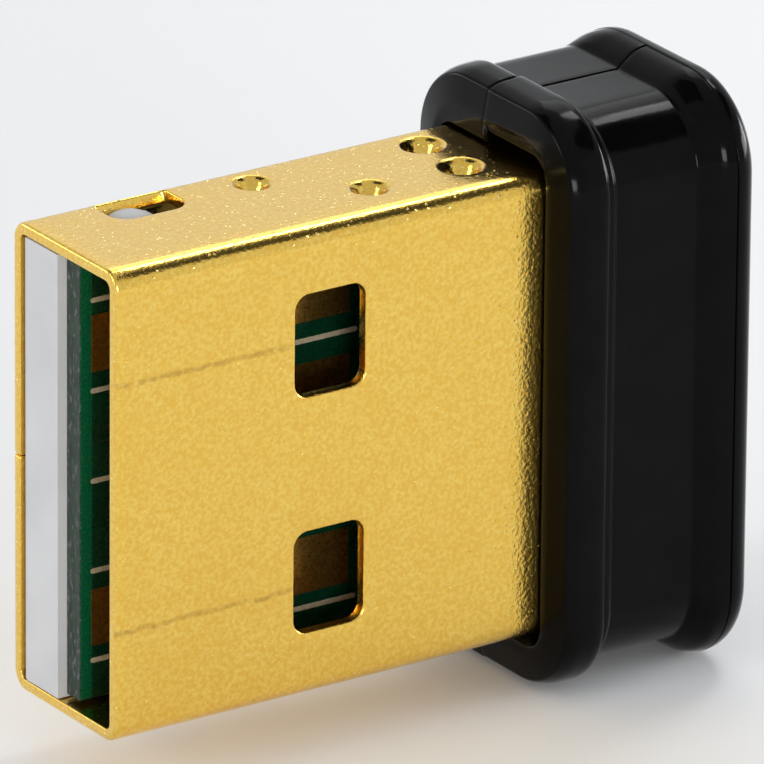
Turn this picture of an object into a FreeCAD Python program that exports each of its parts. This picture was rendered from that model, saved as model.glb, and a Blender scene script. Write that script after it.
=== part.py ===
import FreeCAD, Part
import math
import os

os.makedirs("parts", exist_ok=True)

V = FreeCAD.Vector

# All lengths are millimetres.
# X runs from the plug's mouth (0) towards the cap, Y is the thickness, Z the width.
# The origin is the centre of the plug's mouth.

# plug shell: folded, gold-plated sheet
PLUG_W = 12.0
PLUG_T = 4.5
SHEET = 0.3
SHELL_R = 0.5
SHELL_R_IN = 0.2
SHELL_LEN = 13.6
MOUTH_BREAK = 0.07
SEAM = 0.04
WIN_X0 = 5.06
WIN_X1 = 7.06
WIN_ZS = (3.06, -3.0)
WIN_H = 2.6
WIN_R = 0.38
THROUGH = 8.0
SIDE_X0 = 1.98
SIDE_X1 = 4.02
SIDE_Y0 = 0.66
SIDE_Y1 = 1.91
SIDE_R = 0.3
DIMPLES = [(6.0, 1.09), (8.19, -0.68), (10.84, 1.02), (10.84, -0.66)]
DIMPLE_R = 0.54
DIMPLE_FLOOR_R = 0.2
DIMPLE_DEPTH = 0.34
BUMP_R = 0.52
BUMP_FLOOR_R = 0.34
BUMP_DEPTH = 0.28

# printed circuit board
BOARD_X0 = 0.25
BOARD_X1 = 16.6
BOARD_Y0 = -0.27
BOARD_Y1 = 0.27
BOARD_W = 11.16
BOARD_NOTCH_X = 14.9
BOARD_NOTCH_R = 0.45
BOARD_NOTCH_OUT = 0.05
MASK = 0.03
MASK_BACK_OFF = 0.03
MASK_NOTCH_GROW = 0.05
PAD_T = 0.04
PAD_W = 1.45
PAD_X1 = 7.9
PAD_OUT_X0 = 0.56
PAD_IN_X0 = 1.1
PAD_OUT_Z = 3.5
PAD_IN_Z = 1.0

# the chip side's surface, where the carrier and the small parts sit
FLOOR = BOARD_Y1 + MASK

# plastic carrier between the board and the far wall
CAR_X1 = 11.9
CAR_Y1 = 1.93
CAR_W = 11.34
CAR_ROUND = 0.3
CAR_FLOOR = 0.3
CAR_FRONT = 1.4
CAR_RAIL = 0.75
CAR_REAR = 0.7
REAR_GAP = (0.8, 1.2, 1.6)
RELIEF_X = (3.35, 4.5)
RELIEF_Y = 0.55
RELIEF_DEEP = 0.8
POCKET_R = 0.64
POCKET_DEEP = 0.4
NUB_X = 2.68
NUB_Y = 1.285
NUB_R = 0.9
NUB_TOP = 5.92
NUB_ROOT = 0.05

# cap: two half shells and an end piece
PART_Y = 0.35
FACE_X = 12.15
FL_T = 3.394
FL_Z = 7.53
FL_R = 2.1
WAIST_T = 3.08
WAIST_Z = 7.11
WAIST_R = 1.85
WAIST_R_FAR = 1.1
BACK_T = 3.6
BACK_Z = 7.55
BACK_R = 2.35
BACK_R_FAR = 2.25
END_T = 3.647
END_Z = 7.578
END_R = 2.27
SEAM_X = 16.88
END_X = 17.51
END_ROUND = 0.55
GAP = 0.04
CAV_Y = 1.95
CAV_Z = 6.1
CAV_R = 0.6
RIM_Y = 2.2
RIM_Z = 6.3
RIM_X0 = 16.62
RIM_WALL = 0.35
RIM_PLAY = 0.05
RIB_X0 = 14.0
RIB_X1 = 16.3
RIB_Z = 4.9
RIB_W = 0.6
RIB_ROOT = 0.1


def box(x0, x1, y0, y1, z0, z1):
    return Part.makeBox(x1 - x0, y1 - y0, z1 - z0, V(x0, y0, z0))


def outline(x, hy, hz, near_r, far_r=None):
    # closed wire of a rounded rectangle in the plane of constant x
    edges = []
    for i, (sy, sz) in enumerate([(1, 1), (-1, 1), (-1, -1), (1, -1)]):
        r = far_r if far_r and sy > 0 else near_r
        k = r * math.sqrt(0.5)
        cy = sy * (hy - r)
        cz = sz * (hz - r)
        if i % 2 == 0:
            a = V(x, cy + sy * r, cz)
            b = V(x, cy, cz + sz * r)
        else:
            a = V(x, cy, cz + sz * r)
            b = V(x, cy + sy * r, cz)
        m = V(x, cy + sy * k, cz + sz * k)
        edges.append((a, m, b))
    out = []
    for i in range(4):
        a, m, b = edges[i]
        nxt = edges[(i + 1) % 4][0]
        out.append(Part.Arc(a, m, b).toShape())
        out.append(Part.makeLine(b, nxt))
    return Part.Wire(out)


def prism(x0, x1, hy, hz, r):
    return Part.Face(outline(x0, hy, hz, r)).extrude(V(x1 - x0, 0, 0))


def spool(stations):
    # solid through a row of rounded rectangles: (x, half thickness, half width, radius, far radius)
    wires = [outline(*s) for s in stations]
    return Part.makeLoft(wires, True, True)


def rounded_slot(x0, x1, z0, z1, r, y0, y1):
    # prism along y with four rounded corners
    s = box(x0, x1, y0, y1, z0, z1)
    along = [e for e in s.Edges if abs(e.Vertexes[0].Y - e.Vertexes[1].Y) > 1e-6]
    return s.makeFillet(r, along)


def side_slot(x0, x1, y0, y1, r, z0, z1):
    # prism along z with four rounded corners
    s = box(x0, x1, y0, y1, z0, z1)
    along = [e for e in s.Edges if abs(e.Vertexes[0].Z - e.Vertexes[1].Z) > 1e-6]
    return s.makeFillet(r, along)


def both_sides(make):
    # the same shape at the top and at the bottom narrow side
    top = make()
    return top.fuse(top.mirror(V(0, 0, 0), V(0, 0, 1)))


def dimple_bump(x, y):
    z = PLUG_W / 2 - SHEET
    return Part.makeCone(BUMP_R, BUMP_FLOOR_R, BUMP_DEPTH, V(x, y, z), V(0, 0, -1))


def dimple_pit(x, y):
    z = PLUG_W / 2
    return Part.makeCone(DIMPLE_R, DIMPLE_FLOOR_R, DIMPLE_DEPTH, V(x, y, z), V(0, 0, -1))


def plug_shell():
    outer = prism(0, SHELL_LEN, PLUG_T / 2, PLUG_W / 2, SHELL_R)
    rim = [e for e in outer.Edges if all(abs(v.X) < 1e-6 for v in e.Vertexes)]
    outer = outer.makeChamfer(MOUTH_BREAK, rim)
    inner = prism(-1, SHELL_LEN + 1, PLUG_T / 2 - SHEET, PLUG_W / 2 - SHEET, SHELL_R_IN)
    s = outer.cut(inner)
    for z in WIN_ZS:
        s = s.cut(rounded_slot(WIN_X0, WIN_X1, z - WIN_H / 2, z + WIN_H / 2, WIN_R, -THROUGH, THROUGH))
    s = s.cut(side_slot(SIDE_X0, SIDE_X1, SIDE_Y0, SIDE_Y1, SIDE_R, -THROUGH, THROUGH))
    for x, y in DIMPLES:
        s = s.fuse(both_sides(lambda: dimple_bump(x, y)))
    for x, y in DIMPLES:
        s = s.cut(both_sides(lambda: dimple_pit(x, y)))
    s = s.cut(box(-1, SHELL_LEN + 1, 1, THROUGH, -SEAM / 2, SEAM / 2))
    return s.removeSplitter()


def carrier():
    w = CAR_W / 2
    s = box(0, CAR_X1, FLOOR, CAR_Y1, -w, w)
    # far edges rounded to clear the shell's inside bends
    far_edges = [e for e in s.Edges if all(v.Y > CAR_Y1 - 1e-6 and abs(v.Z) > w - 1e-6 for v in e.Vertexes)]
    s = s.makeFillet(CAR_ROUND, far_edges)
    s = s.cut(box(CAR_FRONT, CAR_X1 - CAR_REAR, 0, CAR_Y1 - CAR_FLOOR, -w + CAR_RAIL, w - CAR_RAIL))
    deep, high, half = REAR_GAP
    s = s.cut(box(CAR_X1 - deep, CAR_X1 + 1, 0, high, -half, half))
    # relief behind each side window
    s = s.cut(both_sides(lambda: box(*RELIEF_X, RELIEF_Y, CAR_Y1 + 1, w - RELIEF_DEEP, w + 1)))
    # pockets that the shell's upper dimples sit in
    for x, y in DIMPLES:
        if y > 0:
            s = s.cut(both_sides(lambda: dimple_pocket(x, y)))
    # domed snap nubs standing in the side windows
    return s.fuse(both_sides(nub)).removeSplitter()


def dimple_pocket(x, y):
    return Part.makeCylinder(POCKET_R, 1, V(x, y, CAR_W / 2 - POCKET_DEEP), V(0, 0, 1))


def nub():
    r = NUB_R
    root = CAR_W / 2 - NUB_ROOT
    ball = Part.makeSphere(r, V(NUB_X, NUB_Y, NUB_TOP - r))
    return ball.common(box(NUB_X - r, NUB_X + r, NUB_Y - r, NUB_Y + r, root, NUB_TOP))


def board_notches(grow):
    # gaps in the board's edges that the cap's locating ribs pass through
    w = BOARD_W / 2
    foot = V(BOARD_NOTCH_X, -1, w + BOARD_NOTCH_OUT)
    return both_sides(lambda: Part.makeCylinder(BOARD_NOTCH_R + grow, 2, foot, V(0, 1, 0)))


def board_core():
    w = BOARD_W / 2
    return box(BOARD_X0, BOARD_X1, BOARD_Y0, BOARD_Y1, -w, w).cut(board_notches(0))


def mask(side):
    w = BOARD_W / 2 - MASK_BACK_OFF
    y0 = BOARD_Y1 if side > 0 else BOARD_Y0 - MASK
    s = box(BOARD_X0 + MASK_BACK_OFF, BOARD_X1 - MASK_BACK_OFF, y0, y0 + MASK, -w, w)
    s = s.cut(board_notches(MASK_NOTCH_GROW))
    if side < 0:
        for x0, zc in ((PAD_OUT_X0, PAD_OUT_Z), (PAD_IN_X0, PAD_IN_Z)):
            s = s.cut(both_sides(lambda: box(x0, PAD_X1, -1, 0, zc - PAD_W / 2, zc + PAD_W / 2)))
    return s


def pads(x0, zc):
    out = []
    for z in (zc, -zc):
        out.append(box(x0, PAD_X1, BOARD_Y0 - PAD_T, BOARD_Y0, z - PAD_W / 2, z + PAD_W / 2))
    return Part.makeCompound(out)


# radio chip: a flat leadless body over a thermal pad and a ring of terminals
CHIP_X = 5.7
CHIP_HALF = 2.5
CHIP_HIGH = 0.85
LAND_T = 0.03
MARK_R = 0.25
MARK_IN = 0.6
MARK_DEEP = 0.04
LANDS = 12
LAND_PITCH = 0.4
LAND_LONG = 0.4
LAND_HALF_W = 0.1
THERMAL_HALF = 1.7


def chip_body():
    h = CHIP_HALF
    top = FLOOR + CHIP_HIGH
    s = box(CHIP_X - h, CHIP_X + h, FLOOR + LAND_T, top, -h, h)
    # pin-one mark
    mark = V(CHIP_X - h + MARK_IN, top - MARK_DEEP, h - MARK_IN)
    return s.cut(Part.makeCylinder(MARK_R, 1, mark, V(0, 1, 0)))


def chip_terminals():
    h = CHIP_HALF
    inner = h - LAND_LONG
    y0, y1 = FLOOR, FLOOR + LAND_T
    t = THERMAL_HALF
    out = [box(CHIP_X - t, CHIP_X + t, y0, y1, -t, t)]
    for i in range(LANDS):
        p = LAND_PITCH * (i - (LANDS - 1) / 2)
        a, b = p - LAND_HALF_W, p + LAND_HALF_W
        out.append(box(CHIP_X - h, CHIP_X - inner, y0, y1, a, b))
        out.append(box(CHIP_X + inner, CHIP_X + h, y0, y1, a, b))
        out.append(box(CHIP_X + a, CHIP_X + b, y0, y1, -h, -inner))
        out.append(box(CHIP_X + a, CHIP_X + b, y0, y1, inner, h))
    return Part.makeCompound(out)


# clock crystal: ceramic tub under a smaller metal lid, as (x0, x1, z0, z1)
XTAL = (8.75, 10.75, -4.3, -2.7)
XTAL_TUB = 0.35
XTAL_HIGH = 0.5
XTAL_STEP = 0.1


def crystal_base():
    x0, x1, z0, z1 = XTAL
    return box(x0, x1, FLOOR, FLOOR + XTAL_TUB, z0, z1)


def crystal_lid():
    x0, x1, z0, z1 = XTAL
    d = XTAL_STEP
    return box(x0 + d, x1 - d, FLOOR + XTAL_TUB, FLOOR + XTAL_HIGH, z0 + d, z1 - d)


# small parts: (x, z, along) with along 0 = length in x, 1 = length in z
CAPS = [
    (2.3, 3.9, 1), (2.3, 2.3, 1), (2.3, -2.3, 1), (2.3, -3.9, 1),
    (4.2, 3.7, 0), (6.0, 3.7, 0), (7.6, 3.7, 0), (4.6, -3.7, 0), (6.4, -3.7, 0),
    (9.1, 1.9, 1), (9.1, -0.6, 1), (13.0, 1.0, 0), (13.0, -0.9, 0),
]
RESISTORS = [(2.3, 0.8, 1), (2.3, -0.8, 1), (10.4, 1.9, 1), (10.4, 0.4, 1), (10.4, -1.2, 1)]
CAP_HIGH = 0.5
RESISTOR_HIGH = 0.35
SMD_L = 1.0
SMD_W = 0.5
TERM = 0.22
STEP_IN = 0.02


def chip_part(place, high, terminals):
    x, z, along = place
    hx, hz = (SMD_L / 2, SMD_W / 2) if along == 0 else (SMD_W / 2, SMD_L / 2)
    top = FLOOR + high
    if not terminals:
        kx = TERM if along == 0 else STEP_IN
        kz = TERM if along == 1 else STEP_IN
        return [box(x - hx + kx, x + hx - kx, FLOOR + STEP_IN, top - STEP_IN, z - hz + kz, z + hz - kz)]
    if along == 0:
        return [box(x - hx, x - hx + TERM, FLOOR, top, z - hz, z + hz),
                box(x + hx - TERM, x + hx, FLOOR, top, z - hz, z + hz)]
    return [box(x - hx, x + hx, FLOOR, top, z - hz, z - hz + TERM),
            box(x - hx, x + hx, FLOOR, top, z + hz - TERM, z + hz)]


def chip_parts(places, high, terminals):
    return Part.makeCompound([s for place in places for s in chip_part(place, high, terminals)])


# power inductor: ferrite between two plated ends, as (x0, x1, z0, z1)
IND = (8.85, 10.85, 2.9, 4.5)
IND_END = 0.4
IND_HIGH = 1.0


def inductor_core():
    x0, x1, z0, z1 = IND
    return box(x0 + IND_END, x1 - IND_END, FLOOR + STEP_IN, FLOOR + IND_HIGH - STEP_IN, z0, z1)


def inductor_ends():
    x0, x1, z0, z1 = IND
    a = box(x0, x0 + IND_END, FLOOR, FLOOR + IND_HIGH, z0, z1)
    b = box(x1 - IND_END, x1, FLOOR, FLOOR + IND_HIGH, z0, z1)
    return Part.makeCompound([a, b])


# chip antenna across the board's end, as (x0, x1, z0, z1)
ANT = (14.9, 16.1, -2.4, 0.8)
ANT_END = 0.35
ANT_HIGH = 0.54


def antenna_body():
    x0, x1, z0, z1 = ANT
    return box(x0, x1, FLOOR + STEP_IN, FLOOR + ANT_HIGH - STEP_IN, z0 + ANT_END, z1 - ANT_END)


def antenna_ends():
    x0, x1, z0, z1 = ANT
    a = box(x0, x1, FLOOR, FLOOR + ANT_HIGH, z0, z0 + ANT_END)
    b = box(x0, x1, FLOOR, FLOOR + ANT_HIGH, z1 - ANT_END, z1)
    return Part.makeCompound([a, b])


def inset(x, ty, tz, r, d):
    return (x, ty - d, tz - d, r - d)


# flange section: (distance behind its face, inset from the flange's outline)
FLANGE_ROWS = [
    (0, 0.85), (0.12, 0.2), (0.2, 0.13), (0.35, 0.08), (0.6, 0.03),
    (0.9, 0.0), (1.04, 0.03), (1.11, 0.09), (1.15, 0.2),
]
STEP_X = 1.2
STEP_OUT = 0.05
WAIST_X0 = 1.3
WAIST_X1 = 15.7
# rise from the waist to the back: (x, fraction of the way)
RISE_ROWS = [(16.05, 0.16), (16.37, 0.55), (16.6, 0.82), (16.74, 0.95), (SEAM_X, 1.0)]


def cap_outer():
    waist = (WAIST_T, WAIST_Z, WAIST_R, WAIST_R_FAR)
    back = (BACK_T, BACK_Z, BACK_R, BACK_R_FAR)
    rows = [inset(FACE_X + x, FL_T, FL_Z, FL_R, d) for x, d in FLANGE_ROWS]
    rows.append((FACE_X + STEP_X, *[v + STEP_OUT for v in waist]))
    rows.append((FACE_X + WAIST_X0, *waist))
    rows.append((WAIST_X1, *waist))
    for x, f in RISE_ROWS:
        rows.append((x, *[a + f * (b - a) for a, b in zip(waist, back)]))
    return spool(rows)


def cap_cavity():
    # mouth round the plug shell, a shoulder behind it, then the inner chamber
    s = prism(FACE_X - 1, SHELL_LEN, PLUG_T / 2 + GAP, PLUG_W / 2 + GAP, SHELL_R + GAP)
    chamber_end = RIM_X0 - RIM_PLAY
    s = s.fuse(prism(SHELL_LEN - 0.1, chamber_end, CAV_Y, CAV_Z, CAV_R))
    s = s.fuse(prism(chamber_end, SEAM_X + 1, RIM_Y + RIM_PLAY, RIM_Z + RIM_PLAY, CAV_R))
    return s


def half_cap(side):
    hollow = cap_outer().cut(cap_cavity())
    beyond = 2 * BACK_Z
    y0, y1 = (-beyond, PART_Y) if side < 0 else (PART_Y, beyond)
    s = hollow.common(box(0, 2 * END_X, y0, y1, -beyond, beyond))
    # ribs that hold the board by its two faces
    root = CAV_Y + RIB_ROOT
    y0, y1 = (-root, BOARD_Y0 - MASK) if side < 0 else (FLOOR, root)
    s = s.fuse(both_sides(lambda: box(RIB_X0, RIB_X1, y0, y1, RIB_Z - RIB_W / 2, RIB_Z + RIB_W / 2)))
    return s.removeSplitter()


def end_piece():
    rows = [(SEAM_X, END_T, END_Z, END_R)]
    steps = 9
    for i in range(1, steps + 1):
        a = math.radians(90.0 * i / steps)
        d = END_ROUND * (1 - math.cos(a))
        x = END_X - END_ROUND + END_ROUND * math.sin(a)
        rows.append(inset(x, END_T, END_Z, END_R, d))
    # rim that plugs into the two half shells
    rim = prism(RIM_X0, SEAM_X, RIM_Y, RIM_Z, CAV_R - RIM_PLAY)
    inside = prism(RIM_X0 - 1, SEAM_X + 1, RIM_Y - RIM_WALL, RIM_Z - RIM_WALL, CAV_R - RIM_WALL)
    return spool(rows).fuse(rim.cut(inside)).removeSplitter()


NODES = {
    "plug_shell": plug_shell,
    "board_carrier": carrier,
    "board_core": board_core,
    "solder_mask_contact_side": lambda: mask(-1),
    "solder_mask_chip_side": lambda: mask(1),
    "contact_pads_outer": lambda: pads(PAD_OUT_X0, PAD_OUT_Z),
    "contact_pads_inner": lambda: pads(PAD_IN_X0, PAD_IN_Z),
    "radio_chip_body": chip_body,
    "radio_chip_terminals": chip_terminals,
    "crystal_base": crystal_base,
    "crystal_lid": crystal_lid,
    "capacitor_bodies": lambda: chip_parts(CAPS, CAP_HIGH, False),
    "capacitor_ends": lambda: chip_parts(CAPS, CAP_HIGH, True),
    "resistor_bodies": lambda: chip_parts(RESISTORS, RESISTOR_HIGH, False),
    "resistor_ends": lambda: chip_parts(RESISTORS, RESISTOR_HIGH, True),
    "inductor_core": inductor_core,
    "inductor_ends": inductor_ends,
    "antenna_body": antenna_body,
    "antenna_ends": antenna_ends,
    "cap_near_half": lambda: half_cap(-1),
    "cap_far_half": lambda: half_cap(1),
    "cap_end_piece": end_piece,
}

for name, make in NODES.items():
    shape = make()
    shape.exportStep(os.path.join("parts", name + ".step"))
    print(name, len(shape.Solids), shape.isValid(), round(shape.Volume, 3))
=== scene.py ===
import math

import bmesh
import bpy
from mathutils import Matrix, Vector
from mathutils.geometry import delaunay_2d_cdt


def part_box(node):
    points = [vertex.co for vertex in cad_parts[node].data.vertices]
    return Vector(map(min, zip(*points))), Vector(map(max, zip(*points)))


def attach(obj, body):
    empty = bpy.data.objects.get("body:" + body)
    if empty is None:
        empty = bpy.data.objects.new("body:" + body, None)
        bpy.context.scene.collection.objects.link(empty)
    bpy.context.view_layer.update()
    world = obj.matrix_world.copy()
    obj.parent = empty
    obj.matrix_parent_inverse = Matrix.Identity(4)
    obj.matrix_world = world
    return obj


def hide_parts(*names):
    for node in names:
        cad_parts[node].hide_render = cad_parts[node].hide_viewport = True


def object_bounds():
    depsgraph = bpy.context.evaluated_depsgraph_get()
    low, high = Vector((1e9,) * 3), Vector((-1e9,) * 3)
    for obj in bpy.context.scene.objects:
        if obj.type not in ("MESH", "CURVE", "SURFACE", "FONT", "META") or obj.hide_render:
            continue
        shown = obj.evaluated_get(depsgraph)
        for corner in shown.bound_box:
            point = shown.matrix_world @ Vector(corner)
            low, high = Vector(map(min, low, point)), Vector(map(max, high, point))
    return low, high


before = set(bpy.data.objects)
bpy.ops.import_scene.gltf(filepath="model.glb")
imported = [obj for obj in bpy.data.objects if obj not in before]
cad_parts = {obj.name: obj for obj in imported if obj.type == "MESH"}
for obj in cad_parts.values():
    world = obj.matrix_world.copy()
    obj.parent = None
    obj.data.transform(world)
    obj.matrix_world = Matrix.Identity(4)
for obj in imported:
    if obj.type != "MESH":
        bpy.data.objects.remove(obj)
cad_lo, cad_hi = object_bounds()

# Lengths of the object are millimetres; MM turns them into the frame's metres.
# X runs from the plug's mouth to the cap, Y is the thickness, Z the width.
MM = 0.001
QUARTER = math.pi / 2
scene = bpy.context.scene


def node_box(name):
    lo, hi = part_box(name)
    return lo / MM, hi / MM


# ---------------------------------------------------------------- materials

# the part of its range that most of a noise falls in
NOISE = (0.3, 0.7)


def shader(name, base, roughness, metallic=0.0, **sockets):
    """A material in plain values; a Graph's links then override its colour and roughness."""
    mat = bpy.data.materials.new(name)
    mat.use_nodes = True
    bsdf = mat.node_tree.nodes["Principled BSDF"]
    bsdf.inputs["Base Color"].default_value = (*base, 1)
    bsdf.inputs["Roughness"].default_value = roughness
    bsdf.inputs["Metallic"].default_value = metallic
    for key, value in sockets.items():
        bsdf.inputs[key.replace("_", " ")].default_value = value
    return mat


class Graph:
    """Short calls for building one material's nodes.

    per_mm is how many times a pattern repeats in a millimetre, the same each way or by axis.
    """

    def __init__(self, mat):
        self.tree = mat.node_tree
        self.bsdf = self.tree.nodes["Principled BSDF"]
        self.coords = self.tree.nodes.new("ShaderNodeTexCoord").outputs["Object"]

    def put(self, socket, value):
        if isinstance(value, bpy.types.NodeSocket):
            self.tree.links.new(value, socket)
        elif value is not None:
            socket.default_value = value

    def scaled(self, per_mm):
        if not isinstance(per_mm, tuple):
            per_mm = (per_mm,) * 3
        node = self.tree.nodes.new("ShaderNodeMapping")
        self.put(node.inputs["Vector"], self.coords)
        node.inputs["Scale"].default_value = tuple(k / MM for k in per_mm)
        return node.outputs[0]

    def noise(self, per_mm, detail=2.0, rough=0.5):
        node = self.tree.nodes.new("ShaderNodeTexNoise")
        node.inputs["Scale"].default_value = 1.0
        node.inputs["Detail"].default_value = detail
        node.inputs["Roughness"].default_value = rough
        self.put(node.inputs["Vector"], self.scaled(per_mm))
        return node.outputs["Fac"]

    def cells(self, per_mm, out):
        node = self.tree.nodes.new("ShaderNodeTexVoronoi")
        node.inputs["Scale"].default_value = 1.0
        self.put(node.inputs["Vector"], self.scaled(per_mm))
        return node.outputs[out]

    def spots(self, per_mm, chosen, reach):
        """Soft dots in some cells: chosen is the range of cell values, reach the dot's fade."""
        pick = self.cells(per_mm, "Color")
        near = self.cells(per_mm, "Distance")
        return self.math("MULTIPLY", self.remap(pick, *chosen), self.remap(near, *reach))

    def math(self, kind, a, b=None):
        node = self.tree.nodes.new("ShaderNodeMath")
        node.operation = kind
        for socket, value in zip(node.inputs, (a, b)):
            self.put(socket, value)
        return node.outputs[0]

    def remap(self, value, lo, hi, to_lo=0.0, to_hi=1.0):
        node = self.tree.nodes.new("ShaderNodeMapRange")
        self.put(node.inputs["Value"], value)
        keys = ("From Min", "From Max", "To Min", "To Max")
        for key, number in zip(keys, (lo, hi, to_lo, to_hi)):
            node.inputs[key].default_value = number
        return node.outputs[0]

    def mix(self, fac, a, b):
        node = self.tree.nodes.new("ShaderNodeMix")
        node.data_type = "RGBA"
        self.put(node.inputs["Factor"], fac)
        self.put(node.inputs[6], (*a, 1) if isinstance(a, tuple) else a)
        self.put(node.inputs[7], (*b, 1) if isinstance(b, tuple) else b)
        return node.outputs[2]

    def axis(self, index):
        """The place along X, Y or Z in mm."""
        node = self.tree.nodes.new("ShaderNodeSeparateXYZ")
        self.put(node.inputs[0], self.scaled(1.0))
        return node.outputs[index]

    def painted(self, name):
        node = self.tree.nodes.new("ShaderNodeAttribute")
        node.attribute_name = name
        return node.outputs["Fac"]

    def bump(self, height, size_mm, strength=1.0, normal=None):
        node = self.tree.nodes.new("ShaderNodeBump")
        self.put(node.inputs["Strength"], strength)
        node.inputs["Distance"].default_value = size_mm * MM
        self.put(node.inputs["Height"], height)
        self.put(node.inputs["Normal"], normal)
        return node.outputs[0]

    def finish(self, color, roughness, normal):
        self.put(self.bsdf.inputs["Base Color"], color)
        self.put(self.bsdf.inputs["Roughness"], roughness)
        self.put(self.bsdf.inputs["Normal"], normal)


GOLD = (0.92, 0.65, 0.135)
GOLD_DEEP = (0.84, 0.51, 0.07)
# the pale colour of the painted glints
GOLD_GLINT = (1.0, 0.86, 0.42)
GOLD_RUBBED = (0.46, 0.25, 0.045)
GLINTS_PER_MM = (9.0, 15.0, 15.0)
# the two lines that a socket's springs rub on the near face, from the mouth to the windows
RUB_ZS = (3.17, -3.10)
RUB_HALF = 0.10
RUB_CORE = 0.03
RUB_WOBBLE = 0.05
RUB_FADE_X = (5.3, 4.8)
# where the near face starts along Y, and where the narrow sides start along Z
NEAR_FACE_Y = (-2.1, -2.2)
WIDE_FACE_Z = (5.7, 5.95)


def rub_marks(g):
    wobble = g.remap(g.noise(1.6), *NOISE, -RUB_WOBBLE, RUB_WOBBLE)
    z = g.math("ADD", g.axis(2), wobble)
    first, second = (g.remap(g.math("ABSOLUTE", g.math("SUBTRACT", z, centre_z)),
                             RUB_HALF, RUB_CORE) for centre_z in RUB_ZS)
    line = g.math("MAXIMUM", first, second)
    on_near = g.remap(g.axis(1), *NEAR_FACE_Y)
    before_windows = g.remap(g.axis(0), *RUB_FADE_X)
    broken = g.remap(g.noise(6.0, detail=3.0), 0.30, 0.60)
    return g.math("MULTIPLY", g.math("MULTIPLY", line, on_near),
                  g.math("MULTIPLY", before_windows, broken))


def gold_plate():
    mat = shader("gold_plate", GOLD, 0.16, 1.0, Coat_Weight=0.4, Coat_Roughness=0.22)
    g = Graph(mat)
    grain = g.noise(9.0, rough=0.6)
    fine = g.noise(26.0, detail=1.0)
    broad = g.noise(0.7, detail=3.0)
    color = g.mix(g.remap(grain, 0.38, 0.66), GOLD_DEEP, GOLD)
    color = g.mix(g.remap(broad, 0.35, 0.75, to_hi=0.35), color, GOLD_DEEP)
    # a sparse scatter of small bright spots: painted glints in the colour, and tiny bumps
    glint = g.spots(GLINTS_PER_MM, chosen=(0.74, 0.84), reach=(0.42, 0.18))
    color = g.mix(g.math("MULTIPLY", glint, 0.8), color, GOLD_GLINT)
    color = g.mix(g.math("MULTIPLY", rub_marks(g), 0.6), color, GOLD_RUBBED)
    # the dimples are pressed smooth
    rough = g.remap(fine, *NOISE, 0.13, 0.19)
    rough = g.math("SUBTRACT", rough, g.math("MULTIPLY", g.painted("polish"), 0.05))
    # the narrow sides are smoother than the wide faces
    wide_face = g.remap(g.math("ABSOLUTE", g.axis(2)), *WIDE_FACE_Z, to_lo=1.0, to_hi=0.5)
    ripple = g.bump(grain, size_mm=0.012, strength=wide_face)
    height = g.math("ADD", g.math("MULTIPLY", fine, 0.35), g.math("MULTIPLY", glint, 2.0))
    g.finish(color, rough, g.bump(height, size_mm=0.004, normal=ripple))
    return mat


CAP_BLACK = (0.0016, 0.0016, 0.0016)
CAP_DARK = (0.0012, 0.0012, 0.0013)
CAP_LIGHT = (0.0022, 0.0021, 0.0021)
CAP_DUST = (0.16, 0.155, 0.15)


def cap_plastic():
    mat = shader("cap_plastic", CAP_BLACK, 0.11, IOR=1.12,
                 Coat_Weight=1.0, Coat_IOR=1.12, Coat_Roughness=0.12)
    g = Graph(mat)
    swirl = g.noise(1.1, detail=3.0)
    grain = g.noise(18.0)
    color = g.mix(g.remap(swirl, 0.35, 0.7), CAP_DARK, CAP_LIGHT)
    dust = g.spots(2.6, chosen=(0.93, 0.94), reach=(0.10, 0.05))
    color = g.mix(g.math("MULTIPLY", dust, 0.45), color, CAP_DUST)
    rough = g.remap(g.math("ADD", swirl, g.math("MULTIPLY", grain, 0.4)), 0.5, 0.95, 0.09, 0.15)
    height = g.math("ADD", g.math("MULTIPLY", swirl, 0.6), g.math("MULTIPLY", grain, 0.05))
    g.finish(color, rough, g.bump(height, size_mm=0.02))
    return mat


CARRIER = (0.56, 0.558, 0.56)
CARRIER_DARK = (0.53, 0.528, 0.53)
CARRIER_LIGHT = (0.59, 0.588, 0.588)
CARRIER_DIRT = (0.2, 0.2, 0.2)


def carrier_plastic():
    mat = shader("carrier_plastic", CARRIER, 0.55)
    g = Graph(mat)
    cloud = g.noise(0.5)
    fine = g.noise(22.0)
    color = g.mix(g.remap(cloud, *NOISE), CARRIER_DARK, CARRIER_LIGHT)
    dirt = g.spots(3.0, chosen=(0.94, 0.95), reach=(0.16, 0.08))
    color = g.mix(g.math("MULTIPLY", dirt, 0.6), color, CARRIER_DIRT)
    g.finish(color, g.remap(fine, *NOISE, 0.48, 0.62), g.bump(fine, size_mm=0.004))
    return mat


LAMINATE = (0.05, 0.09, 0.055)
LAMINATE_DARK = (0.009, 0.022, 0.011)
LAMINATE_LIGHT = (0.042, 0.066, 0.044)
CUT_GLASS = (0.17, 0.15, 0.19)


def board_laminate():
    mat = shader("board_laminate", LAMINATE, 0.7)
    g = Graph(mat)
    streak = g.noise((9.0, 9.0, 2.2), detail=4.0, rough=0.65)
    blot = g.noise((7.0, 12.0, 5.0), detail=3.0, rough=0.6)
    color = g.mix(g.remap(streak, 0.36, 0.68), LAMINATE_DARK, LAMINATE_LIGHT)
    color = g.mix(g.remap(blot, 0.57, 0.67, to_hi=0.8), color, CUT_GLASS)
    rough = g.remap(streak, *NOISE, 0.55, 0.85)
    g.finish(color, rough, g.bump(g.math("ADD", streak, blot), size_mm=0.02))
    return mat


MASK_GREEN = (0.0, 0.035, 0.014)
MASK_DARK = (0.0, 0.022, 0.009)
MASK_LIGHT = (0.001, 0.034, 0.014)
# the brighter green of the painted lit strip
MASK_PAINTED_LIT = (0.0, 0.085, 0.03)
# where the painted lit strip along the board's front edge ends, and half the width of that edge
LIT_STRIP_X = 0.58
LIT_STRIP_FADE = 0.015


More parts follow.
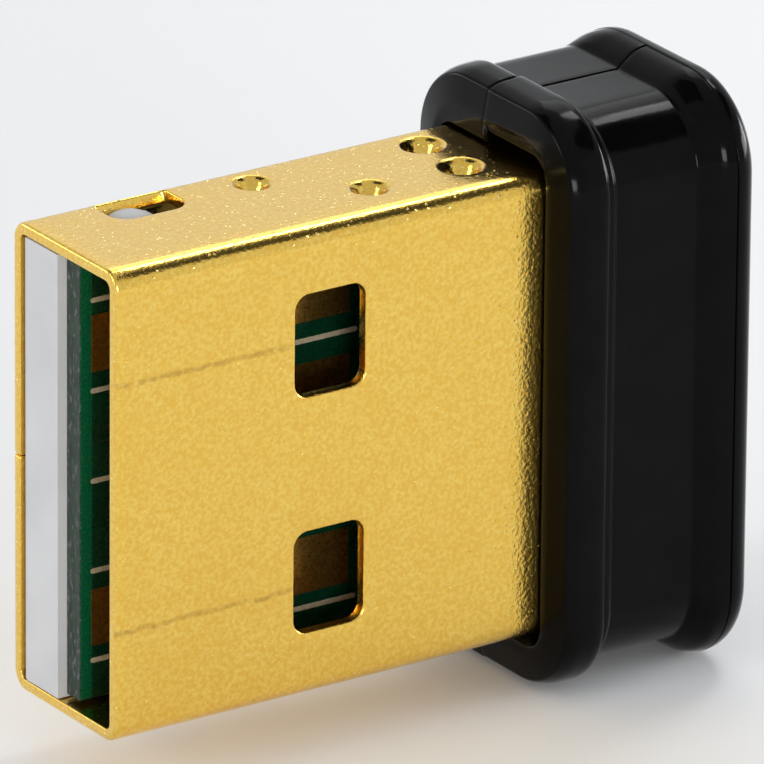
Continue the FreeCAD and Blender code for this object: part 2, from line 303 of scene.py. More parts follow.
def solder_mask():
    mat = shader("solder_mask", MASK_GREEN, 0.22, Coat_Weight=0.4, Coat_Roughness=0.12)
    g = Graph(mat)
    cloud = g.noise(1.3)
    fine = g.noise(14.0)
    color = g.mix(g.remap(cloud, *NOISE), MASK_DARK, MASK_LIGHT)
    # painted light: a brighter green strip along the board's front edge, where light reaches past
    # the shell
    painted_lit = g.remap(g.axis(0), LIT_STRIP_X + LIT_STRIP_FADE, LIT_STRIP_X - LIT_STRIP_FADE)
    color = g.mix(painted_lit, color, MASK_PAINTED_LIT)
    g.finish(color, g.remap(fine, *NOISE, 0.2, 0.32), g.bump(cloud, size_mm=0.01))
    return mat


FINE_TO_MOTTLE = 3.1
ROUGH_LOW, ROUGH_HIGH = 0.85, 1.15


def speckled(name, base, dark, roughness, per_mm, size_mm, metallic):
    """A plain moulded, fired or plated finish with its own fine mottling."""
    mat = shader(name, base, roughness, metallic)
    g = Graph(mat)
    mottle = g.noise(per_mm, detail=3.0, rough=0.6)
    fine = g.noise(tuple(k * FINE_TO_MOTTLE for k in per_mm))
    color = g.mix(g.remap(mottle, 0.35, 0.68), dark, base)
    rough = g.remap(fine, *NOISE, roughness * ROUGH_LOW, min(1.0, roughness * ROUGH_HIGH))
    g.finish(color, rough, g.bump(fine, size_mm))
    return mat


def even(per_mm):
    return (per_mm,) * 3


# name, colour, darker colour, roughness, mottling per mm, bump in mm, metallic
SPECKLED = [
    ("silk_ink", (0.50, 0.43, 0.31), (0.34, 0.28, 0.19), 0.6, even(14.0), 0.003, 0.0),
    ("contact_gold", (0.86, 0.52, 0.12), (0.62, 0.34, 0.07), 0.3, even(9.0), 0.004, 1.0),
    ("chip_plastic", (0.035, 0.035, 0.037), (0.02, 0.02, 0.021), 0.55, even(12.0), 0.003, 0.0),
    ("tinned", (0.78, 0.78, 0.80), (0.6, 0.6, 0.62), 0.35, even(10.0), 0.004, 1.0),
    ("crystal_ceramic", (0.10, 0.09, 0.085), (0.07, 0.06, 0.055), 0.6, even(12.0), 0.003, 0.0),
    ("crystal_metal", (0.72, 0.70, 0.66), (0.6, 0.58, 0.54), 0.28, (20.0, 20.0, 3.0), 0.002, 1.0),
    ("capacitor_ceramic", (0.38, 0.25, 0.14), (0.28, 0.18, 0.10), 0.55, even(12.0), 0.003, 0.0),
    ("resistor_ceramic", (0.03, 0.03, 0.035), (0.015, 0.015, 0.02), 0.4, even(12.0), 0.003, 0.0),
    ("ferrite", (0.06, 0.058, 0.055), (0.035, 0.034, 0.032), 0.75, even(16.0), 0.003, 0.0),
    ("antenna_ceramic", (0.62, 0.66, 0.60), (0.5, 0.55, 0.5), 0.45, even(12.0), 0.003, 0.0),
]

# keyed by hand, because Blender adds a number to a name that the frame already uses
MATERIALS = {
    "gold_plate": gold_plate(),
    "cap_plastic": cap_plastic(),
    "carrier_plastic": carrier_plastic(),
    "board_laminate": board_laminate(),
    "solder_mask": solder_mask(),
    **{row[0]: speckled(*row) for row in SPECKLED},
}


# ---------------------------------------------------------------- pieces

WELD = 1e-4


def add_piece(name, verts, faces, finish, stands_for, sharp_deg, polish=None):
    mesh = bpy.data.meshes.new(name)
    mesh.from_pydata([Vector(v) * MM for v in verts], [], faces)
    if polish:
        mesh.attributes.new("polish", "FLOAT", "POINT").data.foreach_set("value", polish)
    bm = bmesh.new()
    bm.from_mesh(mesh)
    bmesh.ops.remove_doubles(bm, verts=bm.verts, dist=WELD * MM)
    bmesh.ops.recalc_face_normals(bm, faces=bm.faces)
    bm.to_mesh(mesh)
    bm.free()
    ob = bpy.data.objects.new(name, mesh)
    scene.collection.objects.link(ob)
    mesh.shade_smooth()
    mesh.set_sharp_from_angle(angle=math.radians(sharp_deg))
    mesh.materials.append(MATERIALS[finish])
    weighted = ob.modifiers.new("flat_faces_first", "WEIGHTED_NORMAL")
    weighted.keep_sharp = True
    if stands_for:
        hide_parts(*stands_for)
    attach(ob, "root")


def skin(faces, first, around, rings):
    """Quads between neighbouring closed rings of points, and one face over each end."""
    for r in range(rings - 1):
        a = first + r * around
        for k in range(around):
            j = (k + 1) % around
            faces.append((a + k, a + j, a + around + j, a + around + k))
    last = first + (rings - 1) * around
    faces.append(tuple(range(first, first + around)))
    faces.append(tuple(reversed(range(last, last + around))))


def softened(points, cuts, steps):
    """A polyline with each corner rounded over its cut length (mm).

    A point may have more numbers than three, and only the first three set distances.
    """
    out = []
    last = len(points) - 1
    for i, p in enumerate(points):
        if cuts[i] <= 0 or i in (0, last):
            out.append(tuple(p))
            continue
        a, b = points[i - 1], points[i + 1]
        da = math.dist(a[:3], p[:3])
        db = math.dist(b[:3], p[:3])
        # a cut takes less than half of either side, so that neighbours never cross
        ka = min(cuts[i], da * 0.49) / da
        kb = min(cuts[i], db * 0.49) / db
        start = [u + (v - u) * ka for u, v in zip(p, a)]
        end = [u + (v - u) * kb for u, v in zip(p, b)]
        for s in range(steps + 1):
            t = s / steps
            out.append(tuple((1 - t) ** 2 * u + 2 * t * (1 - t) * v + t * t * w
                             for u, v, w in zip(start, p, end)))
    return out


# ---------------------------------------------------------------- plug shell

shell_lo, shell_hi = node_box("plug_shell")
PLUG_T = shell_hi.y - shell_lo.y
PLUG_W = shell_hi.z - shell_lo.z
SHELL_LEN = shell_hi.x
SHEET = 0.3
BEND_R = 0.5
SEAM = 0.016
# rounding of the edges: along the seam, at the mouth, inside the sheet, round the cutouts
SEAM_EDGE = 0.03
MOUTH_ROUND = 0.09
INNER_ROUND = 0.03
CUT_ROUND = 0.055
RIM_CORNER = 1.2 * MOUTH_ROUND
WINDOW_X = (5.06, 7.06)
WINDOW_ZS = (3.06, -3.0)
WINDOW_HALF = 1.3
WINDOW_R = 0.38
SIDE_X = (1.98, 4.02)
SIDE_Y = (0.66, 1.91)
SIDE_R_NEAR = 0.5
SIDE_R_FAR = 0.16
# dimples on each narrow side: x, y and size, then the radii and the depth at size 1
PITS = [(6.0, 1.09, 0.88), (8.19, -0.68, 0.9), (10.84, 1.02, 1.0), (10.84, -0.66, 1.0)]
PIT_FLARE = 0.74
PIT_WALL = 0.5
PIT_FLOOR = 0.25
PIT_DEPTH = 0.5
PIT_LIP = 0.02
PIT_ROUNDS = (0, 0.2, 0.12, 0)
PIT_STEPS = 8
PIT_POLISH = 0.12
# how deep a dimple is inside the shell, against outside
PIT_BACK = 0.92

# mesh steps, and the clear distances kept between grid points and features
CORNER_STEPS = 10
RIM_CORNER_STEPS = 4
EDGE_GAP = 0.3
EDGE_STEPS = 5
PIT_POINTS = 40
BEND_STEPS = 10
GRID_COLUMNS = 30
GRID_ROWS = 76
CLEAR_OF_BEND = 0.1
CLEAR_OF_HOLE = 0.12
CLEAR_OF_PIT = 0.1
CDT_EPSILON = 1e-5

# The outside of the sheet is unfolded: x stays, and u runs round it from the seam,
# over the top, down the near face and back along the bottom.
FLAT_FAR = PLUG_W / 2 - BEND_R - SEAM / 2
FLAT_SIDE = PLUG_T - 2 * BEND_R
FLAT_NEAR = PLUG_W - 2 * BEND_R
ARC = BEND_R * QUARTER
RUNS = [(FLAT_FAR, False), (ARC, True), (FLAT_SIDE, False), (ARC, True), (FLAT_NEAR, False),
        (ARC, True), (FLAT_SIDE, False), (ARC, True), (FLAT_FAR, False)]
U_TOP = FLAT_FAR + ARC
U_NEAR = U_TOP + FLAT_SIDE + ARC
U_BOTTOM = U_NEAR + FLAT_NEAR + ARC
U_FAR = U_BOTTOM + FLAT_SIDE + ARC
U_END = U_FAR + FLAT_FAR
BENDS = (FLAT_FAR, U_TOP + FLAT_SIDE, U_NEAR + FLAT_NEAR, U_BOTTOM + FLAT_SIDE)


def fold(x, u, depth):
    """The point at (x, u) of the unfolded sheet once folded, depth mm into the sheet."""
    angle = 0.0
    p = Vector((PLUG_T / 2, SEAM / 2))
    for i, (length, bends) in enumerate(RUNS):
        n = Vector((math.cos(angle), math.sin(angle)))
        along = Vector((-n.y, n.x))
        if u <= length or i == len(RUNS) - 1:
            if bends:
                turn = angle + u / BEND_R
                n_here = Vector((math.cos(turn), math.sin(turn)))
                return (x, *(p - n * BEND_R + n_here * (BEND_R - depth)))
            return (x, *(p + along * u - n * depth))
        if bends:
            angle += QUARTER
            p = p - n * BEND_R + Vector((math.cos(angle), math.sin(angle))) * BEND_R
        else:
            p = p + along * length
        u -= length


class Cutout:
    """A rounded rectangle in the unfolded sheet.

    r_low and r_high are its corner radii at low and high u, and edge is the rounding round it.
    """

    def __init__(self, x, u, r_low, r_high, edge):
        self.cx, self.cu = (x[0] + x[1]) / 2, (u[0] + u[1]) / 2
        self.hx, self.hu = (x[1] - x[0]) / 2, (u[1] - u[0]) / 2
        self.r_low, self.r_high, self.edge = r_low, r_high, edge

    def distance(self, x, u):
        r = self.r_high if u > self.cu else self.r_low
        qx = abs(x - self.cx) - self.hx + r
        qu = abs(u - self.cu) - self.hu + r
        return math.hypot(max(qx, 0), max(qu, 0)) + min(max(qx, qu), 0) - r

    def outward(self, x, u, h=1e-4):
        return Vector((self.distance(x + h, u) - self.distance(x - h, u),
                       self.distance(x, u + h) - self.distance(x, u - h))).normalized()

    def loop(self, grow, corner_steps=CORNER_STEPS):
        pts = []
        for i, (sx, su) in enumerate(((1, 1), (-1, 1), (-1, -1), (1, -1))):
            r = self.r_high if su > 0 else self.r_low
            cx = self.cx + sx * (self.hx - r)
            cu = self.cu + su * (self.hu - r)
            for k in range(corner_steps + 1):
                a = i * QUARTER + k / corner_steps * QUARTER
                pts.append((cx + (r + grow) * math.cos(a), cu + (r + grow) * math.sin(a)))
        out = []
        for a, b in zip(pts, pts[1:] + pts[:1]):
            n = max(1, int(math.dist(a, b) / EDGE_GAP))
            out += [(a[0] + (b[0] - a[0]) * k / n, a[1] + (b[1] - a[1]) * k / n)
                    for k in range(n)]
        return out


def pit_profile():
    """A dimple's section as rows (radius, depth), from its middle outwards."""
    pts = [(PIT_FLARE + PIT_LIP, 0, 0), (PIT_WALL, 0, 0),
           (PIT_FLOOR, PIT_DEPTH - PIT_LIP, 0), (0, PIT_DEPTH, 0)]
    return sorted((p[0], p[1]) for p in softened(pts, PIT_ROUNDS, PIT_STEPS))


PIT_CURVE = pit_profile()


def pit_depth(rho):
    for (r0, d0), (r1, d1) in zip(PIT_CURVE, PIT_CURVE[1:]):
        if r0 <= rho <= r1:
            return d0 + (d1 - d0) * (rho - r0) / max(r1 - r0, 1e-9)
    return 0.0


def shell_features():
    """The cutouts, and the dimples as (x, u, size), in the unfolded sheet."""
    def window(u):
        return Cutout(WINDOW_X, (u - WINDOW_HALF, u + WINDOW_HALF), WINDOW_R, WINDOW_R, CUT_ROUND)

    top = U_TOP + FLAT_SIDE / 2
    bottom = U_BOTTOM + FLAT_SIDE / 2
    holes = [window(U_NEAR + FLAT_NEAR / 2 - z) for z in WINDOW_ZS]
    # the far face is in two parts, one each side of the seam
    holes += [window(z - SEAM / 2 if z > 0 else U_END + z + SEAM / 2) for z in WINDOW_ZS]
    holes.append(Cutout(SIDE_X, (top - SIDE_Y[1], top - SIDE_Y[0]),
                        SIDE_R_FAR, SIDE_R_NEAR, CUT_ROUND))
    holes.append(Cutout(SIDE_X, (bottom + SIDE_Y[0], bottom + SIDE_Y[1]),
                        SIDE_R_NEAR, SIDE_R_FAR, CUT_ROUND))
    pits = []
    for x, y, size in PITS:
        pits += [(x, top - y, size), (x, bottom + y, size)]
    return holes, pits


def sheet_points(rim, holes, pits):
    """The points of the unfolded sheet, and the edges that its triangles have to keep."""
    coords, edges = [], []

    def chain(points, closed=True):
        first = len(coords)
        coords.extend(Vector(p) for p in points)
        n = len(points)
        for k in range(n if closed else n - 1):
            edges.append((first + k, first + (k + 1) % n))

    def column(c):
        return rim.edge + (SHELL_LEN - 2 * rim.edge) * c / GRID_COLUMNS

    chain(rim.loop(-rim.edge, RIM_CORNER_STEPS))
    for h in holes:
        chain(h.loop(h.edge))
    for x, u, size in pits:
        for rho, _ in PIT_CURVE[1:]:
            turns = [2 * math.pi * k / PIT_POINTS for k in range(PIT_POINTS)]
            chain([(x + rho * size * math.cos(a), u + rho * size * math.sin(a)) for a in turns])
        coords.append(Vector((x, u)))
    for at in BENDS:
        for k in range(BEND_STEPS + 1):
            u = at + ARC * k / BEND_STEPS
            chain([(column(c), u) for c in range(GRID_COLUMNS + 1)], closed=False)
    for r in range(1, GRID_ROWS):
        u = U_END * r / GRID_ROWS
        if any(at - CLEAR_OF_BEND < u < at + ARC + CLEAR_OF_BEND for at in BENDS):
            continue
        for c in range(1, GRID_COLUMNS):
            x = column(c)
            if (all(h.distance(x, u) > h.edge + CLEAR_OF_HOLE for h in holes)
                    and all(math.dist((x, u), (px, pu)) > (PIT_FLARE + CLEAR_OF_PIT) * s
                            for px, pu, s in pits)):
                coords.append(Vector((x, u)))
    return coords, edges


def sheet_triangles(rim, holes, pits):
    coords, edges = sheet_points(rim, holes, pits)
    flat, _, tris, _, _, _ = delaunay_2d_cdt(coords, edges, [], 0, CDT_EPSILON, True)
    kept = []
    for t in tris:
        middle = sum((flat[i] for i in t), Vector((0, 0))) / len(t)
        in_sheet = rim.distance(*middle) <= -rim.edge + 1e-3
        if in_sheet and all(h.distance(*middle) > h.edge - 2e-3 for h in holes):
            kept.append(t)
    used = sorted({i for t in kept for i in t})
    index = {old: new for new, old in enumerate(used)}
    return [flat[i] for i in used], [tuple(index[i] for i in t) for t in kept]


def wall_steps(r):
    """A cut edge's section as rows (distance out, depth): a round of r, then the inner round."""
    turns = [QUARTER * k / EDGE_STEPS for k in range(EDGE_STEPS + 1)]
    steps = [(r * math.sin(a), r * (1 - math.cos(a))) for a in turns[1:]]
    steps += [(r - INNER_ROUND * (1 - math.cos(a)), SHEET - INNER_ROUND * (1 - math.sin(a)))
              for a in turns]
    return steps + [(r - INNER_ROUND, SHEET)]


def build_shell():
    holes, pits = shell_features()
    spare = MOUTH_ROUND - SEAM_EDGE
    rim = Cutout((0, SHELL_LEN), (-spare, U_END + spare), RIM_CORNER, RIM_CORNER, MOUTH_ROUND)
    flat, tris = sheet_triangles(rim, holes, pits)

    # the outside skin, then the inside skin
    verts, polish, inside = [], [], []
    for x, u in flat:
        reach = [(math.dist((x, u), (px, pu)) / s, s) for px, pu, s in pits]
        sunk = sum(pit_depth(rho) * s for rho, s in reach)
        verts.append(fold(x, u, sunk))
        inside.append(fold(x, u, SHEET + sunk * PIT_BACK))
        polish.append(max(0.0, min(1.0, (PIT_FLARE - min(reach)[0]) / PIT_POLISH)))
    n = len(flat)
    verts += inside
    polish += [0.0] * n
    faces = tris + [tuple(i + n for i in reversed(t)) for t in tris]

    # walls down every open edge, from the outside skin to the inside one
    count = {}
    for t in tris:
        for a, b in zip(t, t[1:] + t[:1]):
            key = (min(a, b), max(a, b))
            count[key] = count.get(key, 0) + 1
    border = [key for key, c in count.items() if c == 1]
    shapes = [(h, -1.0, h.edge) for h in holes] + [(rim, 1.0, -rim.edge)]
    walls = {}
    for i in {i for key in border for i in key}:
        x, u = flat[i]
        shape, sign, level = min(shapes, key=lambda s: abs(s[0].distance(x, u) - s[2]))
        away = shape.outward(x, u) * sign
        if shape is rim:
            away.y *= SEAM_EDGE / MOUTH_ROUND
        row = [i]
        for out, depth in wall_steps(shape.edge):
            row.append(len(verts))
            verts.append(fold(x + away.x * out, u + away.y * out, depth))
            polish.append(0.0)
        walls[i] = row + [i + n]
    for a, b in border:
        ra, rb = walls[a], walls[b]
        for k in range(len(ra) - 1):
            faces.append((ra[k], rb[k], rb[k + 1], ra[k + 1]))

    add_piece("gold_shell", verts, faces, "gold_plate", ["plug_shell"], 60.0, polish)


# ---------------------------------------------------------------- cap

mask_y = node_box("solder_mask_contact_side")[0].y
chip_mask_y = node_box("solder_mask_chip_side")[1].y
near_lo, near_hi = node_box("cap_near_half")
far_hi = node_box("cap_far_half")[1]
end_lo, end_hi = node_box("cap_end_piece")
PART_Y = near_hi.y
FACE_X = near_lo.x
SEAM_X = near_hi.x
END_X = end_hi.x
RIM_X0 = end_lo.x

# outlines are (half thickness, half width, near corner radius, far corner radius)
FLANGE = (3.394, 7.53, 2.1, 2.1)
WAIST = (3.08, 7.11, 1.85, 1.1)
BACK = (far_hi.y, far_hi.z, 2.15, 2.25)
END = (end_hi.y, end_hi.z, 2.27, 2.27)
OPENING_GAP = 0.05
OPENING = (PLUG_T / 2 + OPENING_GAP, PLUG_W / 2 + OPENING_GAP,
           BEND_R + OPENING_GAP, BEND_R + OPENING_GAP)
CAVITY = (1.95, 6.1, 0.6, 0.6)
RECESS = (2.25, 6.35, 0.6, 0.6)
RIM = (2.2, 6.3, 0.55, 0.55)
RIM_WALL = 0.35
RIM_PLAY = 0.05
MIN_CORNER = 0.05
PART_ROUND_IN = 0.012
SEAM_ROUND = 0.025
END_ROUND = 0.55
END_INSETS = (0.62, 0.8, 1.3, 2.0, 2.6)
RIB_X = (14.0, 16.3)
RIB_Z = 4.9
RIB_HALF = 0.3
RIB_ROOT = 0.1
RIB_CHAMFER = 0.08

# What the two half shells don't share. side is the sign of y, rear the distance from the
# cap's face to the flange's back edge, lead how much the opening's half width grows at that
# face, part_round the round along the parting line, and proud how far the half stands out.
HALVES = {
    "near": dict(side=-1, rear=1.19, lead=0.32, part_round=0.012, proud=0.0),
    "far": dict(side=1, rear=1.06, lead=0.03, part_round=0.014, proud=0.026),
}
LEAD_R = 0.62

# a small blob of moulding flash at the opening, on the near half
FLASH = (0.09, 0.10, 0.22)
FLASH_AT = (FACE_X + 0.02, PART_Y - 0.10, PLUG_W / 2 + 0.28)
FLASH_SWELL = 0.12
FLASH_AROUND = 14
FLASH_UP = 9

# mesh steps
PROFILE_STEPS = 5
PART_STEPS = 4
BEND_POINTS = 22
HALF_LONG = 34
RING_LONG = 30
SHORT = 10
SEAM_STEPS = 4
END_STEPS = 12


def inset(o, d):
    return (o[0] - d, o[1] - d, max(o[2] - d, MIN_CORNER), max(o[3] - d, MIN_CORNER))


def between(a, b, f):
    return tuple(u + (v - u) * f for u, v in zip(a, b))


def half_profile(rear, lead, proud):
    """Closed section of one half shell as rows (x, half thickness, half width, near r, far r)."""
    mouth = (OPENING[0], OPENING[1] + lead, LEAD_R, LEAD_R)
    # distance behind the cap's face, outline, inset, corner cut
    front = [
        (0.45, OPENING, 0, 0.0),
        (0.0, mouth, 0, 0.05),
        (0.0, FLANGE, 0.88 - proud, 0.12),
        (0.13, FLANGE, 0.17 - proud, 0.09),
        (0.42, FLANGE, 0.045 - proud, 0.2),
        (rear, FLANGE, -proud, 0.34),
        (rear + 0.01, WAIST, -0.12, 0.03),
        (rear + 0.26, WAIST, -0.11, 0.08),
        (rear + 0.33, WAIST, -proud, 0.05),
    ]
    # distance behind the mouth, outline, inset, corner cut
    tail = [
        (16.06, WAIST, -proud, 0.06),
        (16.22, between(WAIST, BACK, 0.33), -proud, 0.08),
        (16.56, between(WAIST, BACK, 0.88), -proud, 0.2),
        (SEAM_X, BACK, -proud, SEAM_ROUND),
        (SEAM_X, RECESS, 0, 0.03),
        (RIM_X0 - RIM_PLAY, RECESS, 0, 0.0),
        (RIM_X0 - RIM_PLAY, CAVITY, 0, 0.0),
        (SHELL_LEN, CAVITY, 0, 0.0),
        (SHELL_LEN, OPENING, 0, 0.0),
    ]
    rows = [(FACE_X + x, o, d, cut) for x, o, d, cut in front] + tail
    return softened([(x, *inset(o, d)) for x, o, d, _ in rows], [cut for *_, cut in rows],
                    PROFILE_STEPS)


def half_path(o, side, y0):
    """Points (y, z) round half an outline, from the parting plane's top to its bottom."""
    hy, hz = o[0], o[1]
    r = o[2] if side < 0 else o[3]
    out = []
    for k in range(SHORT):
        out.append((y0 + (side * (hy - r) - y0) * k / SHORT, hz))
    for k in range(BEND_POINTS):
        a = QUARTER * k / BEND_POINTS
        out.append((side * (hy - r + r * math.sin(a)), hz - r + r * math.cos(a)))
    for k in range(HALF_LONG + 1):
        out.append((side * hy, (hz - r) * (1 - 2 * k / HALF_LONG)))
    for k in range(1, BEND_POINTS + 1):
        a = QUARTER * (1 - k / BEND_POINTS)
        out.append((side * (hy - r + r * math.sin(a)), -(hz - r + r * math.cos(a))))
    for k in range(1, SHORT + 1):
        out.append((side * (hy - r) + (y0 - side * (hy - r)) * k / SHORT, -hz))
    return out


def shrink(loop, d):
    """A closed (a, b) polygon moved inwards by d."""
    area = sum(p[0] * q[1] - q[0] * p[1] for p, q in zip(loop, loop[1:] + loop[:1]))
    turn = 1 if area > 0 else -1
    out = []
    for i, p in enumerate(loop):
        a, b = Vector(loop[i - 1]), Vector(loop[(i + 1) % len(loop)])
        t = (b - a).normalized()
        out.append((p[0] - t.y * d * turn, p[1] + t.x * d * turn))
    return out


def add_lump(verts, faces, centre, size):
    """A small rounded blob, slightly uneven."""
    first = len(verts)
    for j in range(1, FLASH_UP):
        b = math.pi * j / FLASH_UP
        for i in range(FLASH_AROUND):
            a = 2 * math.pi * i / FLASH_AROUND
            n = Vector((math.sin(b) * math.cos(a), math.sin(b) * math.sin(a), math.cos(b)))
            n *= 1 + FLASH_SWELL * math.sin(3 * a + 2 * b)
            verts.append(tuple(c + k * r for c, k, r in zip(centre, n, size)))
    skin(faces, first, FLASH_AROUND, FLASH_UP - 1)


def add_rib(verts, faces, lo, hi):
    """A bar with its free long edges taken off, standing on the inner wall."""
    first = len(verts)
    c = RIB_CHAMFER * (1 if hi[1] > lo[1] else -1)
    outline = [(lo[1], lo[2]), (hi[1] - c, lo[2]), (hi[1], lo[2] + RIB_CHAMFER),
               (hi[1], hi[2] - RIB_CHAMFER), (hi[1] - c, hi[2]), (lo[1], hi[2])]
    for x in (lo[0], hi[0]):
        verts.extend((x, y, z) for y, z in outline)
    skin(faces, first, len(outline), 2)


def build_half(which, name, node):
    half = HALVES[which]
    side, part_round = half["side"], half["part_round"]
    rows = half_profile(half["rear"], half["lead"], half["proud"])
    y0 = PART_Y + side * part_round
    grid = [half_path(r[1:], side, y0) for r in rows]
    columns = [[(r[0], *path[k]) for r, path in zip(rows, grid)] for k in range(len(grid[0]))]

    def rounded_end(column):
        loop = [(p[0], p[2]) for p in column]
        extra = []
        for k in range(1, PART_STEPS + 1):
            a = QUARTER * k / PART_STEPS
            y = y0 - side * part_round * math.sin(a)
            extra.append([(x, y, z) for x, z in shrink(loop, PART_ROUND_IN * (1 - math.cos(a)))])
        return extra

    columns = rounded_end(columns[0])[::-1] + columns + rounded_end(columns[-1])
    verts = [p for c in columns for p in c]
    faces = []
    skin(faces, 0, len(rows), len(columns))
    root = side * (CAVITY[0] + RIB_ROOT)
    tip = mask_y if side < 0 else chip_mask_y
    for z in (RIB_Z, -RIB_Z):
        add_rib(verts, faces, (RIB_X[0], root, z - RIB_HALF), (RIB_X[1], tip, z + RIB_HALF))
    if side < 0:
        add_lump(verts, faces, FLASH_AT, FLASH)
    add_piece(name, verts, faces, "cap_plastic", [node], 50.0)


def ring_path(o):
    """Points (y, z) round a whole outline, from the far side of its top."""
    hy, hz = o[0], o[1]
    arcs = []
    for i, (sy, sz) in enumerate(((1, 1), (-1, 1), (-1, -1), (1, -1))):
        r = o[3] if sy > 0 else o[2]
        turns = [QUARTER * (i + k / BEND_POINTS) for k in range(BEND_POINTS + 1)]
        arcs.append([(sy * (hy - r) + r * math.cos(a), sz * (hz - r) + r * math.sin(a))
                     for a in turns])
    out = []
    for i, arc in enumerate(arcs):
        a, b = arc[-1], arcs[(i + 1) % 4][0]
        n = SHORT if i % 2 == 0 else RING_LONG
        out += arc
        out += [(a[0] + (b[0] - a[0]) * k / n, a[1] + (b[1] - a[1]) * k / n) for k in range(1, n)]
    return out


def build_end():
    # the spigot's inside, its open end and its outside, then the back face's edge
    rows = [
        (SEAM_X, *inset(RIM, 2.0)),
        (SEAM_X, *inset(RIM, RIM_WALL)),
        (RIM_X0, *inset(RIM, RIM_WALL)),
        (RIM_X0, *RIM),
        (SEAM_X, *RIM),
        (SEAM_X, *inset(END, SEAM_ROUND)),
    ]
    for k in range(1, SEAM_STEPS + 1):
        a = QUARTER * k / SEAM_STEPS
        rows.append((SEAM_X + SEAM_ROUND * (1 - math.cos(a)),
                     *inset(END, SEAM_ROUND * (1 - math.sin(a)))))
    for k in range(END_STEPS + 1):
        a = QUARTER * k / END_STEPS
        rows.append((END_X - END_ROUND + END_ROUND * math.sin(a),
                     *inset(END, END_ROUND * (1 - math.cos(a)))))
    rows += [(END_X, *inset(END, d)) for d in END_INSETS]
    rings = [ring_path(r[1:]) for r in rows]
    verts = [(r[0], y, z) for r, ring in zip(rows, rings) for y, z in ring]
    faces = []
    skin(faces, 0, len(rings[0]), len(rings))
    add_piece("cap_end", verts, faces, "cap_plastic", ["cap_end_piece"], 50.0)


# ---------------------------------------------------------------- board details

# the lines printed across the contact side, between the pads
SILK_W = 0.13
SILK_T = 0.012
SILK_EDGE = 0.018
SILK_ZS = (4.6, 2.3, 0.0, -2.3, -4.6)
SILK_X0 = 0.60
SILK_X1 = node_box("contact_pads_outer")[1].x + 0.15
SILK_TURN = 12


def build_silk():
    verts, faces = [], []
    half = SILK_W / 2
    # height above the mask, and how far the outline has drawn in there
    layers = [(0.0, 0.0), (SILK_T * 0.7, 0.0), (SILK_T, SILK_EDGE)]
    for z in SILK_ZS:
        first = len(verts)
        for height, drawn_in in layers:
            r = half * (1 - drawn_in / half)
            for end, x in ((1, SILK_X1), (-1, SILK_X0)):
                for k in range(SILK_TURN + 1):
                    a = math.pi * (k / SILK_TURN - 0.5)
                    verts.append((x + end * r * math.cos(a), mask_y - height,
                                  z + end * r * math.sin(a)))
        skin(faces, first, 2 * (SILK_TURN + 1), len(layers))
    add_piece("silkscreen_lines", verts, faces, "silk_ink", [], 40.0)


# CAD nodes that keep their shape: finish, and the width of their worn edges in mm
NODE_LOOKS = {
    "board_carrier": ("carrier_plastic", 0.04),
    "board_core": ("board_laminate", 0.02),
    "solder_mask_contact_side": ("solder_mask", 0.01),
    "solder_mask_chip_side": ("solder_mask", 0.01),
    "contact_pads_outer": ("contact_gold", 0.008),
    "contact_pads_inner": ("contact_gold", 0.008),
    "radio_chip_body": ("chip_plastic", 0.04),
    "radio_chip_terminals": ("tinned", 0.0),
    "crystal_base": ("crystal_ceramic", 0.03),
    "crystal_lid": ("crystal_metal", 0.03),
    "capacitor_bodies": ("capacitor_ceramic", 0.02),
    "capacitor_ends": ("tinned", 0.02),
    "resistor_bodies": ("resistor_ceramic", 0.01),
    "resistor_ends": ("tinned", 0.015),
    "inductor_core": ("ferrite", 0.04),
    "inductor_ends": ("tinned", 0.04),
    "antenna_body": ("antenna_ceramic", 0.03),
    "antenna_ends": ("tinned", 0.03),
}


def dress_node(name, finish, worn_mm):
    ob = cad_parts[name]
    ob.data.materials.clear()
    ob.data.materials.append(MATERIALS[finish])
    if worn_mm:
        bevel = ob.modifiers.new("worn_edges", "BEVEL")
        bevel.width = worn_mm * MM
        bevel.segments = 3
        bevel.limit_method = "ANGLE"
        bevel.angle_limit = math.radians(30)
        bevel.harden_normals = False


build_shell()
build_half("near", "cap_near", "cap_near_half")
build_half("far", "cap_far", "cap_far_half")
build_end()
build_silk()
for node_name, (finish, worn_mm) in NODE_LOOKS.items():
    dress_node(node_name, finish, worn_mm)


# ---------------------------------------------------------------- studio, in metres

FLOOR_RADIUS = 4.0
FLOOR_GREY = 0.95
FLAG_GREY = 0.015
WORLD_COLOR = (0.95, 0.97, 1.0, 1)
WORLD_STRENGTH = 0.66
centre = (cad_lo + cad_hi) / 2

# name, azimuth, elevation, distance, width, height, radiance
SOFTBOXES = [
    ("key_softbox", 114, 55, 0.55, 0.11, 0.11, 8.5),
    ("key_fill_softbox", 137, 44, 0.75, 0.34, 0.34, 1.0),
    ("back_softbox", 156, 29, 0.9, 0.9, 0.7, 0.22),
    ("near_softbox", 34, 18, 0.6, 0.34, 0.42, 0.15),
    ("right_softbox", 76, 6, 0.45, 0.30, 0.14, 12.0),
    ("left_softbox", -96, 24, 0.6, 0.2, 0.2, 5.2),
    ("low_back_softbox", -145, 8, 0.7, 0.35, 0.16, 3.0),
    ("mouth_softbox", -20, 9, 0.5, 0.16, 0.12, 15.0),
]
# black cards that give glossy edges something dark to reflect
FLAGS = [
    ("near_flag", 68, 51, 0.45, 0.32, 0.165),
    ("top_flag", -130, 66, 0.5, 0.34, 0.24),
]


def direction(azimuth, elevation):
    """Unit vector from the object: azimuth 0 is towards -Y, 90 towards +X."""
    a, e = math.radians(azimuth), math.radians(elevation)
    return Vector((math.sin(a) * math.cos(e), -math.cos(a) * math.cos(e), math.sin(e)))


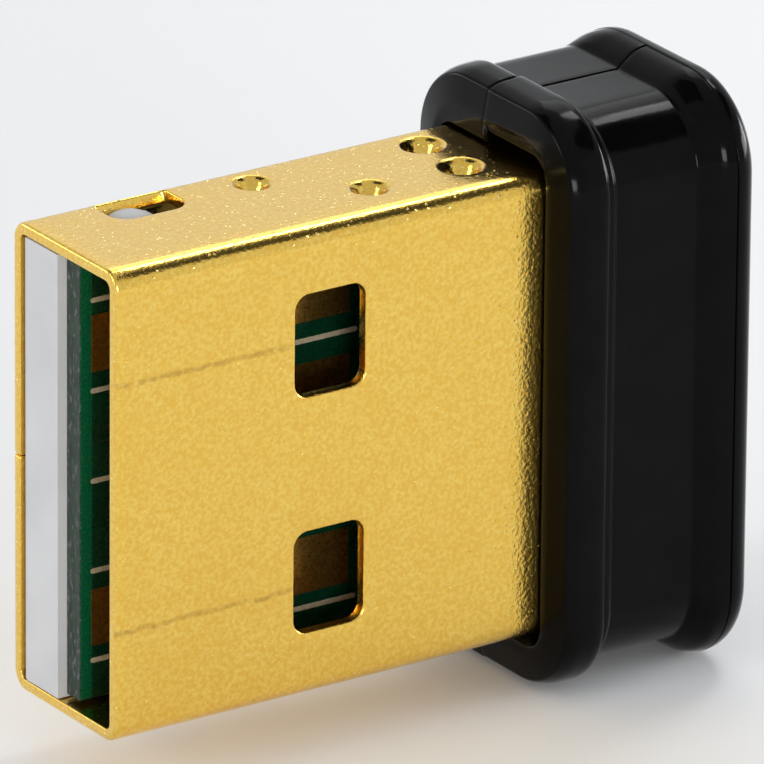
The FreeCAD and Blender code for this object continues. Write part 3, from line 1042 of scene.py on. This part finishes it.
def hang(ob, azimuth, elevation, distance):
    """Puts a light or a card where it faces the object, unseen by the camera."""
    ob.location = centre + direction(azimuth, elevation) * distance
    ob.rotation_mode = "QUATERNION"
    ob.rotation_quaternion = (centre - ob.location).to_track_quat("-Z", "Y")
    ob.visible_camera = False


def stage_piece(name, bm, grey, roughness):
    mesh = bpy.data.meshes.new(name)
    bm.to_mesh(mesh)
    bm.free()
    mesh.materials.append(shader(name, (grey,) * 3, roughness))
    ob = bpy.data.objects.new(name, mesh)
    scene.collection.objects.link(ob)
    return ob


def add_floor():
    bm = bmesh.new()
    bmesh.ops.create_circle(bm, cap_ends=True, segments=64, radius=FLOOR_RADIUS)
    stage_piece("studio_floor", bm, FLOOR_GREY, 0.75).location = (0, 0, cad_lo.z)


def add_softbox(name, azimuth, elevation, distance, width, height, radiance):
    light = bpy.data.lights.new(name, "AREA")
    light.shape = "RECTANGLE"
    light.size, light.size_y = width, height
    light.energy = radiance * math.pi * width * height
    ob = bpy.data.objects.new(name, light)
    scene.collection.objects.link(ob)
    hang(ob, azimuth, elevation, distance)


def add_flag(name, azimuth, elevation, distance, width, height):
    bm = bmesh.new()
    bmesh.ops.create_grid(bm, x_segments=1, y_segments=1, size=0.5)
    bmesh.ops.scale(bm, vec=(width, height, 1), verts=bm.verts)
    hang(stage_piece(name, bm, FLAG_GREY, 0.9), azimuth, elevation, distance)


add_floor()
for softbox in SOFTBOXES:
    add_softbox(*softbox)
for flag in FLAGS:
    add_flag(*flag)

world = bpy.data.worlds.new("studio")
scene.world = world
world.use_nodes = True
background = world.node_tree.nodes["Background"]
background.inputs["Color"].default_value = WORLD_COLOR
background.inputs["Strength"].default_value = WORLD_STRENGTH

# ---------------------------------------------------------------- camera

CAMERA_AZIMUTH = -34.0808
CAMERA_ELEVATION = 21.7380
CAMERA_ROLL = 0.4926
CAMERA_LENS = 643.1155
CAMERA_LOCATION = (-161.44175, -251.99384, 121.91678)

camera_data = bpy.data.cameras.new("photo_camera")
camera_data.sensor_width = 36.0
camera_data.lens = CAMERA_LENS
camera_data.clip_start = 0.01
camera_data.clip_end = 20.0
camera = bpy.data.objects.new("photo_camera", camera_data)
scene.collection.objects.link(camera)
back = direction(CAMERA_AZIMUTH, CAMERA_ELEVATION)
level = direction(CAMERA_AZIMUTH + 90, 0)
upright = back.cross(level)
roll = math.radians(CAMERA_ROLL)
right = level * math.cos(roll) + upright * math.sin(roll)
up = upright * math.cos(roll) - level * math.sin(roll)
pose = Matrix((right, up, back)).transposed().to_4x4()
pose.translation = Vector(CAMERA_LOCATION) * MM
camera.matrix_world = pose
scene.camera = camera
scene.view_settings.view_transform = "Standard"
